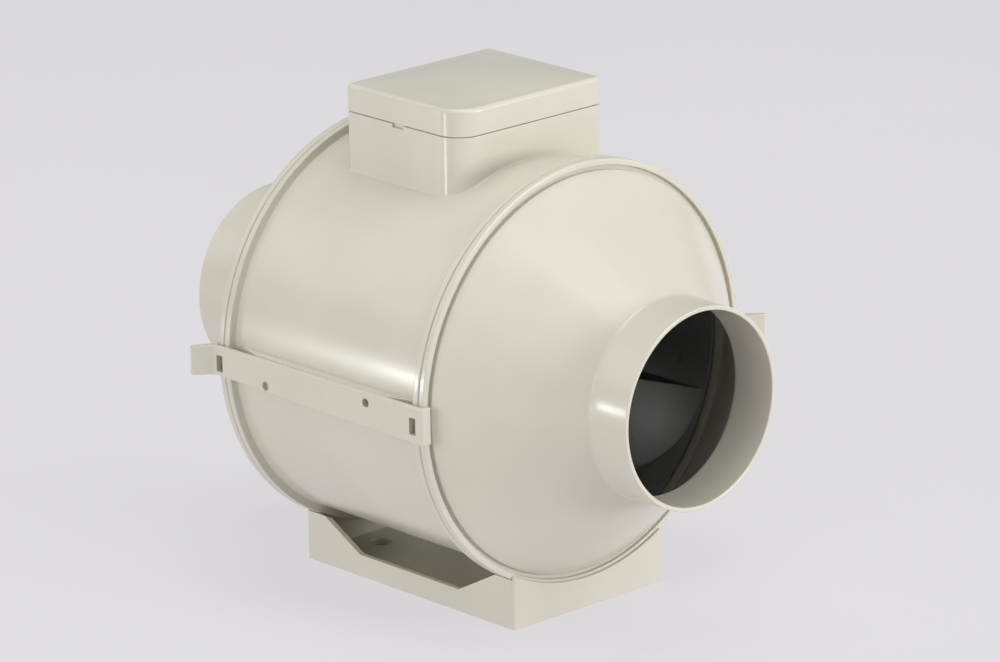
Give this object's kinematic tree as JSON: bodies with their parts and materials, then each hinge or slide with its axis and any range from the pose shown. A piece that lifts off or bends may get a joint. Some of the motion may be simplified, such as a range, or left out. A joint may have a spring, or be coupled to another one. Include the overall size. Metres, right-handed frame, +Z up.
{
  "type": "in-line mixed-flow extractor fan",
  "caption": "In-line bathroom extractor fan: round casing between two cones with duct spigots, terminal box on top, snap clamps at the sides, saddle bracket below.",
  "frame": {"origin": "middle of the bracket's underside", "axes": "+Z up; the duct axis is parallel to Y, air enters at +Y and leaves at -Y; +X to the right seen from the outlet"},
  "size_m": [0.2304, 0.3, 0.2471],
  "materials": {
    "shell_plastic": "satin moulded, warm light grey",
    "vane_plastic": "moulded grey",
    "dark_plastic": "moulded black",
    "white_plastic": "moulded white",
    "seal_rubber": "soft black",
    "steel": "ground steel",
    "zinc_steel": "zinc plated",
    "cast_aluminium": "die cast",
    "brass": "turned brass",
    "copper_winding": "enamelled copper"
  },
  "bodies": {
    "housing": {"inlet_cone": "shell_plastic", "outlet_cone": "shell_plastic", "casing": "shell_plastic", "base_bracket": "shell_plastic", "guide_vane_housing": "vane_plastic", "cable_gland": "dark_plastic", "cable_gland_nut": "dark_plastic", "cable_gland_locknut": "dark_plastic", "motor_lead": "dark_plastic", "terminal_block": "white_plastic", "capacitor": "white_plastic", "inlet_seal": "seal_rubber", "outlet_seal": "seal_rubber", "lead_grommet": "seal_rubber", "stator_core": "steel", "rear_bearing": "steel", "front_bearing": "steel", "capacitor_clip": "steel", "housing_screw_1": "zinc_steel", "housing_screw_2": "zinc_steel", "housing_screw_3": "zinc_steel", "motor_screw_1": "zinc_steel", "motor_screw_2": "zinc_steel", "motor_screw_3": "zinc_steel", "motor_rear_cap": "cast_aluminium", "motor_front_cap": "cast_aluminium", "terminal_screw_1": "brass", "terminal_screw_2": "brass", "terminal_screw_3": "brass", "terminal_screw_4": "brass", "stator_winding": "copper_winding"},
    "rotor": {"impeller": "dark_plastic", "impeller_bush": "brass", "impeller_washer": "zinc_steel", "impeller_nut": "zinc_steel", "motor_shaft": "steel", "motor_rotor": "steel", "shaft_circlip": "steel"},
    "left_clamp": {"clamp_left": "shell_plastic"},
    "right_clamp": {"clamp_right": "shell_plastic"},
    "lid": {"terminal_box_lid": "shell_plastic"}
  },
  "joints": [
    {"name": "impeller_spin", "type": "hinge", "parent": "housing", "child": "rotor", "pos_m": [0, 0, 0.116], "axis": [0, 1, 0], "continuous": true},
    {"name": "left_clamp_swing", "type": "hinge", "parent": "housing", "child": "left_clamp", "pos_m": [-0.1007, -0.0723, 0.116], "axis": [0, 0, 1], "range_deg": [0, 75]},
    {"name": "right_clamp_swing", "type": "hinge", "parent": "housing", "child": "right_clamp", "pos_m": [0.1007, 0.0723, 0.116], "axis": [0, 0, 1], "range_deg": [0, 75]},
    {"name": "lid_lift", "type": "slide", "parent": "housing", "child": "lid", "axis": [0, 0, 1], "range_m": [0, 0.06]}
  ]
}
